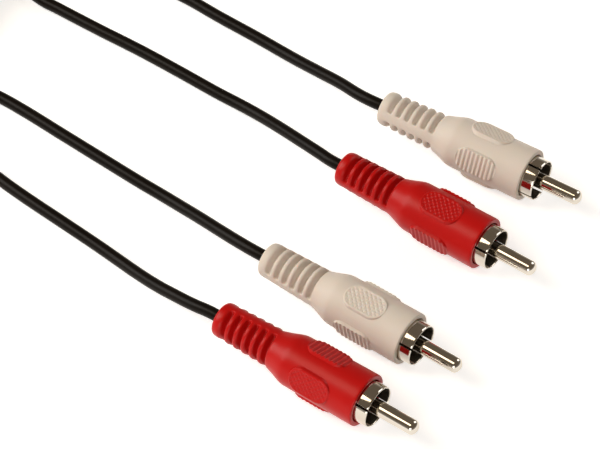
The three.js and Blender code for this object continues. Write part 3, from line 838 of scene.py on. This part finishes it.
class Finish:
    """A material whose nodes are added one call at a time"""

    def __init__(self, name):
        self.material = bpy.data.materials.new(name)
        self.material.use_nodes = True
        self.tree = self.material.node_tree
        self.tree.nodes.clear()

    def node(self, kind, settings=None, inputs=None, output=0):
        """Add a node. Settings come first, then its sockets' values or links."""
        node = self.tree.nodes.new(kind)
        for key, value in (settings or {}).items():
            setattr(node, key, value)
        for key, value in (inputs or {}).items():
            if isinstance(value, Signal):
                self.tree.links.new(value.socket, node.inputs[key])
            else:
                node.inputs[key].default_value = value
        if not node.outputs:
            return None
        return Signal(self, node.outputs[output])

    def noise(self, size, detail=3.0, roughness=0.5):
        """Soft noise whose blotches are about as large as size, in metres"""
        place = self.node("ShaderNodeTexCoord", output="Object")
        inputs = {"Vector": place, "Scale": 1 / size, "Detail": detail, "Roughness": roughness}
        return self.node("ShaderNodeTexNoise", None, inputs)

    def mix(self, share, first, second):
        """Blend two colours"""
        inputs = {0: share, 6: first, 7: second}
        return self.node("ShaderNodeMix", {"data_type": "RGBA"}, inputs, 2)

    def bump(self, height, depth, strength):
        """A relief of a given depth in metres"""
        inputs = {"Strength": strength, "Distance": depth, "Height": height}
        return self.node("ShaderNodeBump", None, inputs)

    def surface(self, **sockets):
        """End the graph in a Principled BSDF with these sockets"""
        inputs = {name.replace("_", " "): value for name, value in sockets.items()}
        shader = self.node("ShaderNodeBsdfPrincipled", None, inputs)
        self.node("ShaderNodeOutputMaterial", None, {"Surface": shader})
        return self.material


print("shader helpers:", Signal.__name__, Finish.__name__)

# %% [markdown]
# ## The finishes
# The boots are soft vinyl: even in colour, with a satin sheen and a very fine grain from the
# mould. Light goes a little way into it, so it is given a slight subsurface share. The jacket is
# nearly black vinyl with a satin sheen. The plating is bright nickel with a warm cast and faint
# wear in its sheen. The flagged bore of the shell is duller, and its darker colour there is
# painted shade.

# %% Make the finishes
def vinyl(name, colour, shade, roughness, scatter):
    finish = Finish(name)
    blotches = finish.noise(9 * MM, 4)
    grain = finish.noise(0.35 * MM, 2)
    colour = finish.mix(blotches, colour, shade)
    return finish.surface(
        Base_Color=colour,
        Roughness=roughness + 0.1 * (grain - 0.5),
        Normal=finish.bump(grain, 0.02 * MM, 0.12),
        Subsurface_Weight=scatter,
        Subsurface_Radius=(1.0, 0.55, 0.35),
        Subsurface_Scale=0.8 * MM,
        Specular_IOR_Level=0.18,
    )


def plating(name):
    finish = Finish(name)
    dull = finish.noise(1.6 * MM, 5, 0.6)
    tone = finish.noise(5 * MM, 2)
    # In the flagged bore the plating is painted darker, as painted shade inside the shell, and is
    # duller.
    inside = finish.node("ShaderNodeAttribute", {"attribute_name": "inside"}, output="Fac")
    bright = finish.mix(tone, (0.69, 0.64, 0.57, 1), (0.62, 0.57, 0.49, 1))
    return finish.surface(
        Base_Color=finish.mix(inside, bright, (0.2, 0.17, 0.13, 1)),
        Metallic=1.0,
        Roughness=0.05 + 0.06 * dull + 0.25 * inside,
        Normal=finish.bump(dull, 0.01 * MM, 0.25),
    )


def plain_plastic(name, colour, shade, roughness):
    finish = Finish(name)
    grain = finish.noise(0.5 * MM, 3)
    return finish.surface(
        Base_Color=finish.mix(finish.noise(4 * MM), colour, shade),
        Roughness=roughness + 0.12 * (grain - 0.5),
        Normal=finish.bump(grain, 0.02 * MM, 0.3),
        Specular_IOR_Level=0.1,
    )


def twisted_copper(name):
    finish = Finish(name)
    strands = finish.noise(0.25 * MM, 4, 0.7)
    return finish.surface(
        Base_Color=finish.mix(strands, (0.80, 0.46, 0.27, 1), (0.52, 0.25, 0.12, 1)),
        Metallic=1.0,
        Roughness=0.28 + 0.2 * strands,
        Normal=finish.bump(strands, 0.05 * MM, 0.6),
    )


finishes = {
    "boot_white": vinyl("white_vinyl", (0.72, 0.655, 0.59, 1), (0.69, 0.62, 0.55, 1), 0.42, 0.3),
    "boot_red": vinyl("red_vinyl", (0.50, 0.006, 0.005, 1), (0.46, 0.005, 0.004, 1), 0.33, 0.1),
    "wire": plain_plastic("black_jacket", (0.004, 0.003, 0.002, 1), (0.008, 0.005, 0.003, 1), 0.34),
    "plating": plating("nickel_plating_with_painted_bore_shade"),
    "insulator": plain_plastic(
        "black_insulator", (0.012, 0.011, 0.01, 1), (0.02, 0.018, 0.016, 1), 0.5
    ),
    "core_insulation": plain_plastic(
        "pale_insulation", (0.75, 0.7, 0.6, 1), (0.68, 0.62, 0.5, 1), 0.45
    ),
    "copper": twisted_copper("bare_copper"),
    "tie": plain_plastic("tie_plastic", (0.02, 0.02, 0.02, 1), (0.03, 0.03, 0.03, 1), 0.5),
}
print("finishes:", sorted(finishes))

# %% [markdown]
# ## Give every piece its finish
# The record names a material slot for each CAD node, and each new piece takes the same slot. The
# nodes that stay visible, such as the wire's core inside a boot, get theirs through the record.

# %% Assign the finishes
def dress(piece, finish):
    piece.data.materials.clear()
    piece.data.materials.append(finish)


node_slots = {part["node"]: part["material_slot"] for part in frame["record"]["subparts"]}
dressed = [(piece, node_slots[node]) for node, piece in placed.items()]
dressed += [(piece, "wire") for piece in (*wires.values(), web)]
dressed.append((tie, "tie"))
for node, slot_name in node_slots.items():
    if node.endswith(("_core", "_shield_tail")):
        dressed.append((bpy.data.objects[node], slot_name))
for piece, slot_name in dressed:
    dress(piece, finishes[slot_name])
print("dressed pieces:", len(dressed))

# %% [markdown]
# ## The studio
# The lead lies on a white surface that is lit to pure white. For the camera and for reflections
# the floor adds a glow of its own to its plain white paint, so it stays white and still keeps
# the lead's shadow. A large soft lamp at the left is the main light. A warm panel above it draws
# the long highlights on the plating. A wide low lamp further off in front and a small one behind
# at the right fill in the shaded sides. The room is paler near the horizon than overhead.

# %% The floor
FLOOR_PAINT = (0.88, 0.88, 0.88, 1)
FLOOR_GLOW = 0.56
FLOOR_DROP = 0.02 * MM

bpy.ops.mesh.primitive_plane_add(size=4, location=(0, 0, -FLOOR_DROP))
floor = bpy.context.object
floor.name = "floor"
paper = Finish("white_paper")
paint = paper.node("ShaderNodeBsdfDiffuse", None, {"Color": FLOOR_PAINT})
path = paper.tree.nodes.new("ShaderNodeLightPath")
seen = Signal(paper, path.outputs["Is Camera Ray"]) + Signal(paper, path.outputs["Is Glossy Ray"])
seen = seen + Signal(paper, path.outputs["Is Transmission Ray"])
white_glow = {"Color": (1, 1, 1, 1), "Strength": seen * FLOOR_GLOW}
glow = paper.node("ShaderNodeEmission", None, white_glow)
both = paper.node("ShaderNodeAddShader", None, {0: paint, 1: glow})
paper.node("ShaderNodeOutputMaterial", None, {"Surface": both})
dress(floor, paper.material)
print("floor glow:", FLOOR_GLOW)

# %% The lamps and the world
LAMPS = {
    # name: place, size, power in watts, colour
    "left_softbox": ((-0.84, 0.12, 0.6), 0.66, 7.4, (1, 0.97, 0.92)),
    "key_panel": ((-0.58, -0.13, 0.92), 0.45, 2.2, (1, 0.84, 0.62)),
    "right_softbox": ((0.42, 0.38, 0.42), 0.4, 1.2, (1, 0.98, 0.95)),
    "front_fill": ((-0.5, -1.3, 0.25), 1.0, 8.5, (1, 0.98, 0.95)),
}
ROOM_STOPS = [
    # height of the direction, colour
    (0.02, (0.42, 0.4, 0.37, 1)),
    (0.35, (0.15, 0.12, 0.09, 1)),
]

for lamp_name, (place, size, power, colour) in LAMPS.items():
    bpy.ops.object.light_add(type="AREA", location=place)
    lamp = bpy.context.object
    lamp.name = lamp_name
    lamp.data.size = size
    lamp.data.energy = power
    lamp.data.color = colour
    lamp.rotation_euler = (-Vector(place)).to_track_quat("-Z", "Y").to_euler()

world = bpy.data.worlds.new("studio")
bpy.context.scene.world = world
world.use_nodes = True
room = world.node_tree
direction = room.nodes.new("ShaderNodeTexCoord")
split = room.nodes.new("ShaderNodeSeparateXYZ")
ramp = room.nodes.new("ShaderNodeValToRGB")
for stop, (position, colour) in zip(ramp.color_ramp.elements, ROOM_STOPS):
    stop.position = position
    stop.color = colour
room.links.new(direction.outputs["Generated"], split.inputs["Vector"])
room.links.new(split.outputs["Z"], ramp.inputs["Fac"])
room.links.new(ramp.outputs["Color"], room.nodes["Background"].inputs["Color"])
bpy.context.scene.view_settings.view_transform = "Standard"
print("lamps:", len(LAMPS))
